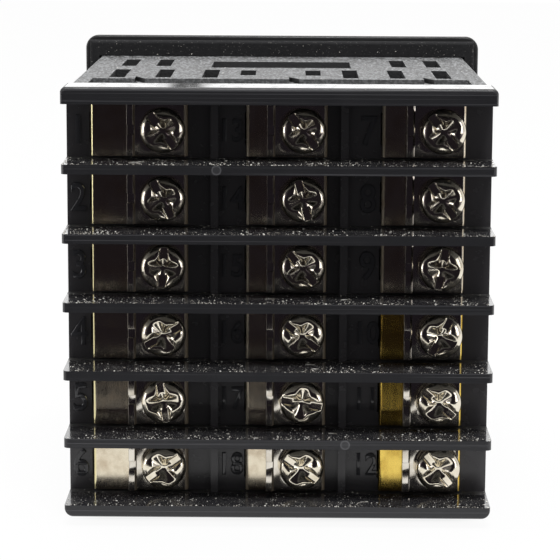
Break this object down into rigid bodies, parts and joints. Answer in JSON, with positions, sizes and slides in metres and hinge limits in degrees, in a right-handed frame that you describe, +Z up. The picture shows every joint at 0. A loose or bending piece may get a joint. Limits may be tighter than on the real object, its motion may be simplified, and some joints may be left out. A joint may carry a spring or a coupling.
{
  "type": "digital process controller",
  "caption": "Square panel-mounted process controller with a deep vented black case, a front display with keys and a rear screw terminal block with barriers between its rows.",
  "frame": {"origin": "centre of the panel cut-out on the panel's front surface, which the gasket's rear face rests on", "axes": "+Y towards the operator along the case, so the terminals face -Y; +Z up with the display upright; +X to the right as seen from the wiring side"},
  "size_m": [0.048, 0.0581, 0.048],
  "materials": {
    "case_plastic": "fine grained black moulding",
    "block_plastic": "glossy black moulding",
    "bezel_plastic": "satin black moulding",
    "smoked_window": "smoked clear plastic",
    "gasket_rubber": "soft black rubber",
    "circuit_board": "green board",
    "display_plastic": "dark display filter",
    "component_plastic": "black component body",
    "transformer_ferrite": "dark ferrite",
    "capacitor_sleeve": "shrink sleeve",
    "nickel_plate": "bright nickel plating",
    "brass_plate": "bright brass",
    "key_rubber": "dark grey key",
    "washer_steel": "nickel plated steel",
    "screw_steel": "nickel plated steel"
  },
  "bodies": {
    "housing": {"case": "case_plastic", "terminal_block": "block_plastic", "front_bezel": "bezel_plastic", "display_window": "smoked_window", "panel_gasket": "gasket_rubber", "display_board": "circuit_board", "led_display": "display_plastic", "key_switches": "component_plastic", "input_board": "circuit_board", "control_board": "circuit_board", "power_board": "circuit_board", "power_transformer": "transformer_ferrite", "output_relay": "component_plastic", "filter_capacitors": "capacitor_sleeve", "control_chip": "component_plastic", "board_connectors": "component_plastic", "left_plates": "nickel_plate", "middle_plates": "nickel_plate", "right_upper_plates": "nickel_plate", "right_lower_plates": "brass_plate"},
    "key_mode": {"key_mode": "key_rubber"},
    "key_shift": {"key_shift": "key_rubber"},
    "key_down": {"key_down": "key_rubber"},
    "key_up": {"key_up": "key_rubber"},
    "clamp_01": {"clamp_washer_01": "washer_steel"},
    "screw_01": {"terminal_screw_01": "screw_steel"},
    "clamp_02": {"clamp_washer_02": "washer_steel"},
    "screw_02": {"terminal_screw_02": "screw_steel"},
    "clamp_03": {"clamp_washer_03": "washer_steel"},
    "screw_03": {"terminal_screw_03": "screw_steel"},
    "clamp_04": {"clamp_washer_04": "washer_steel"},
    "screw_04": {"terminal_screw_04": "screw_steel"},
    "clamp_05": {"clamp_washer_05": "washer_steel"},
    "screw_05": {"terminal_screw_05": "screw_steel"},
    "clamp_06": {"clamp_washer_06": "washer_steel"},
    "screw_06": {"terminal_screw_06": "screw_steel"},
    "clamp_07": {"clamp_washer_07": "washer_steel"},
    "screw_07": {"terminal_screw_07": "screw_steel"},
    "clamp_08": {"clamp_washer_08": "washer_steel"},
    "screw_08": {"terminal_screw_08": "screw_steel"},
    "clamp_09": {"clamp_washer_09": "washer_steel"},
    "screw_09": {"terminal_screw_09": "screw_steel"},
    "clamp_10": {"clamp_washer_10": "washer_steel"},
    "screw_10": {"terminal_screw_10": "screw_steel"},
    "clamp_11": {"clamp_washer_11": "washer_steel"},
    "screw_11": {"terminal_screw_11": "screw_steel"},
    "clamp_12": {"clamp_washer_12": "washer_steel"},
    "screw_12": {"terminal_screw_12": "screw_steel"},
    "clamp_13": {"clamp_washer_13": "washer_steel"},
    "screw_13": {"terminal_screw_13": "screw_steel"},
    "clamp_14": {"clamp_washer_14": "washer_steel"},
    "screw_14": {"terminal_screw_14": "screw_steel"},
    "clamp_15": {"clamp_washer_15": "washer_steel"},
    "screw_15": {"terminal_screw_15": "screw_steel"},
    "clamp_16": {"clamp_washer_16": "washer_steel"},
    "screw_16": {"terminal_screw_16": "screw_steel"},
    "clamp_17": {"clamp_washer_17": "washer_steel"},
    "screw_17": {"terminal_screw_17": "screw_steel"},
    "clamp_18": {"clamp_washer_18": "washer_steel"},
    "screw_18": {"terminal_screw_18": "screw_steel"}
  },
  "joints": [
    {"name": "key_mode_press", "type": "slide", "parent": "housing", "child": "key_mode", "axis": [0, -1, 0], "range_m": [0, 0.0003], "stiffness_N_per_m": 2500},
    {"name": "key_shift_press", "type": "slide", "parent": "housing", "child": "key_shift", "axis": [0, -1, 0], "range_m": [0, 0.0003], "stiffness_N_per_m": 2500},
    {"name": "key_down_press", "type": "slide", "parent": "housing", "child": "key_down", "axis": [0, -1, 0], "range_m": [0, 0.0003], "stiffness_N_per_m": 2500},
    {"name": "key_up_press", "type": "slide", "parent": "housing", "child": "key_up", "axis": [0, -1, 0], "range_m": [0, 0.0003], "stiffness_N_per_m": 2500},
    {"name": "clamp_01_lift", "type": "slide", "parent": "housing", "child": "clamp_01", "axis": [0, -1, 0], "range_m": [0, 0.00188]},
    {"name": "screw_01_turn", "type": "hinge", "parent": "clamp_01", "child": "screw_01", "pos_m": [-0.01205, -0.04345, 0.01787], "axis": [0, -1, 0], "range_deg": [0, 1360]},
    {"name": "clamp_02_lift", "type": "slide", "parent": "housing", "child": "clamp_02", "axis": [0, -1, 0], "range_m": [0, 0.00188]},
    {"name": "screw_02_turn", "type": "hinge", "parent": "clamp_02", "child": "screw_02", "pos_m": [-0.01205, -0.04345, 0.01073], "axis": [0, -1, 0], "range_deg": [0, 1360]},
    {"name": "clamp_03_lift", "type": "slide", "parent": "housing", "child": "clamp_03", "axis": [0, -1, 0], "range_m": [0, 0.00188]},
    {"name": "screw_03_turn", "type": "hinge", "parent": "clamp_03", "child": "screw_03", "pos_m": [-0.01205, -0.04345, 0.00358], "axis": [0, -1, 0], "range_deg": [0, 1360]},
    {"name": "clamp_04_lift", "type": "slide", "parent": "housing", "child": "clamp_04", "axis": [0, -1, 0], "range_m": [0, 0.00188]},
    {"name": "screw_04_turn", "type": "hinge", "parent": "clamp_04", "child": "screw_04", "pos_m": [-0.01205, -0.04345, -0.00358], "axis": [0, -1, 0], "range_deg": [0, 1360]},
    {"name": "clamp_05_lift", "type": "slide", "parent": "housing", "child": "clamp_05", "axis": [0, -1, 0], "range_m": [0, 0.00188]},
    {"name": "screw_05_turn", "type": "hinge", "parent": "clamp_05", "child": "screw_05", "pos_m": [-0.01205, -0.04345, -0.01073], "axis": [0, -1, 0], "range_deg": [0, 1360]},
    {"name": "clamp_06_lift", "type": "slide", "parent": "housing", "child": "clamp_06", "axis": [0, -1, 0], "range_m": [0, 0.00188]},
    {"name": "screw_06_turn", "type": "hinge", "parent": "clamp_06", "child": "screw_06", "pos_m": [-0.01205, -0.04345, -0.01787], "axis": [0, -1, 0], "range_deg": [0, 1360]},
    {"name": "clamp_07_lift", "type": "slide", "parent": "housing", "child": "clamp_07", "axis": [0, -1, 0], "range_m": [0, 0.00188]},
    {"name": "screw_07_turn", "type": "hinge", "parent": "clamp_07", "child": "screw_07", "pos_m": [0.01695, -0.04345, 0.01787], "axis": [0, -1, 0], "range_deg": [0, 1360]},
    {"name": "clamp_08_lift", "type": "slide", "parent": "housing", "child": "clamp_08", "axis": [0, -1, 0], "range_m": [0, 0.00188]},
    {"name": "screw_08_turn", "type": "hinge", "parent": "clamp_08", "child": "screw_08", "pos_m": [0.01695, -0.04345, 0.01073], "axis": [0, -1, 0], "range_deg": [0, 1360]},
    {"name": "clamp_09_lift", "type": "slide", "parent": "housing", "child": "clamp_09", "axis": [0, -1, 0], "range_m": [0, 0.00188]},
    {"name": "screw_09_turn", "type": "hinge", "parent": "clamp_09", "child": "screw_09", "pos_m": [0.01695, -0.04345, 0.00358], "axis": [0, -1, 0], "range_deg": [0, 1360]},
    {"name": "clamp_10_lift", "type": "slide", "parent": "housing", "child": "clamp_10", "axis": [0, -1, 0], "range_m": [0, 0.00188]},
    {"name": "screw_10_turn", "type": "hinge", "parent": "clamp_10", "child": "screw_10", "pos_m": [0.01695, -0.04345, -0.00358], "axis": [0, -1, 0], "range_deg": [0, 1360]},
    {"name": "clamp_11_lift", "type": "slide", "parent": "housing", "child": "clamp_11", "axis": [0, -1, 0], "range_m": [0, 0.00188]},
    {"name": "screw_11_turn", "type": "hinge", "parent": "clamp_11", "child": "screw_11", "pos_m": [0.01695, -0.04345, -0.01073], "axis": [0, -1, 0], "range_deg": [0, 1360]},
    {"name": "clamp_12_lift", "type": "slide", "parent": "housing", "child": "clamp_12", "axis": [0, -1, 0], "range_m": [0, 0.00188]},
    {"name": "screw_12_turn", "type": "hinge", "parent": "clamp_12", "child": "screw_12", "pos_m": [0.01695, -0.04345, -0.01787], "axis": [0, -1, 0], "range_deg": [0, 1360]},
    {"name": "clamp_13_lift", "type": "slide", "parent": "housing", "child": "clamp_13", "axis": [0, -1, 0], "range_m": [0, 0.00188]},
    {"name": "screw_13_turn", "type": "hinge", "parent": "clamp_13", "child": "screw_13", "pos_m": [0.0025, -0.04345, 0.01787], "axis": [0, -1, 0], "range_deg": [0, 1360]},
    {"name": "clamp_14_lift", "type": "slide", "parent": "housing", "child": "clamp_14", "axis": [0, -1, 0], "range_m": [0, 0.00188]},
    {"name": "screw_14_turn", "type": "hinge", "parent": "clamp_14", "child": "screw_14", "pos_m": [0.0025, -0.04345, 0.01073], "axis": [0, -1, 0], "range_deg": [0, 1360]},
    {"name": "clamp_15_lift", "type": "slide", "parent": "housing", "child": "clamp_15", "axis": [0, -1, 0], "range_m": [0, 0.00188]},
    {"name": "screw_15_turn", "type": "hinge", "parent": "clamp_15", "child": "screw_15", "pos_m": [0.0025, -0.04345, 0.00358], "axis": [0, -1, 0], "range_deg": [0, 1360]},
    {"name": "clamp_16_lift", "type": "slide", "parent": "housing", "child": "clamp_16", "axis": [0, -1, 0], "range_m": [0, 0.00188]},
    {"name": "screw_16_turn", "type": "hinge", "parent": "clamp_16", "child": "screw_16", "pos_m": [0.0025, -0.04345, -0.00358], "axis": [0, -1, 0], "range_deg": [0, 1360]},
    {"name": "clamp_17_lift", "type": "slide", "parent": "housing", "child": "clamp_17", "axis": [0, -1, 0], "range_m": [0, 0.00188]},
    {"name": "screw_17_turn", "type": "hinge", "parent": "clamp_17", "child": "screw_17", "pos_m": [0.0025, -0.04345, -0.01073], "axis": [0, -1, 0], "range_deg": [0, 1360]},
    {"name": "clamp_18_lift", "type": "slide", "parent": "housing", "child": "clamp_18", "axis": [0, -1, 0], "range_m": [0, 0.00188]},
    {"name": "screw_18_turn", "type": "hinge", "parent": "clamp_18", "child": "screw_18", "pos_m": [0.0025, -0.04345, -0.01787], "axis": [0, -1, 0], "range_deg": [0, 1360]}
  ],
  "couplings": [
    {"joint": "screw_01_turn", "follows": "clamp_01_lift", "rad_per_m": 12566},
    {"joint": "screw_02_turn", "follows": "clamp_02_lift", "rad_per_m": 12566},
    {"joint": "screw_03_turn", "follows": "clamp_03_lift", "rad_per_m": 12566},
    {"joint": "screw_04_turn", "follows": "clamp_04_lift", "rad_per_m": 12566},
    {"joint": "screw_05_turn", "follows": "clamp_05_lift", "rad_per_m": 12566},
    {"joint": "screw_06_turn", "follows": "clamp_06_lift", "rad_per_m": 12566},
    {"joint": "screw_07_turn", "follows": "clamp_07_lift", "rad_per_m": 12566},
    {"joint": "screw_08_turn", "follows": "clamp_08_lift", "rad_per_m": 12566},
    {"joint": "screw_09_turn", "follows": "clamp_09_lift", "rad_per_m": 12566},
    {"joint": "screw_10_turn", "follows": "clamp_10_lift", "rad_per_m": 12566},
    {"joint": "screw_11_turn", "follows": "clamp_11_lift", "rad_per_m": 12566},
    {"joint": "screw_12_turn", "follows": "clamp_12_lift", "rad_per_m": 12566},
    {"joint": "screw_13_turn", "follows": "clamp_13_lift", "rad_per_m": 12566},
    {"joint": "screw_14_turn", "follows": "clamp_14_lift", "rad_per_m": 12566},
    {"joint": "screw_15_turn", "follows": "clamp_15_lift", "rad_per_m": 12566},
    {"joint": "screw_16_turn", "follows": "clamp_16_lift", "rad_per_m": 12566},
    {"joint": "screw_17_turn", "follows": "clamp_17_lift", "rad_per_m": 12566},
    {"joint": "screw_18_turn", "follows": "clamp_18_lift", "rad_per_m": 12566}
  ]
}
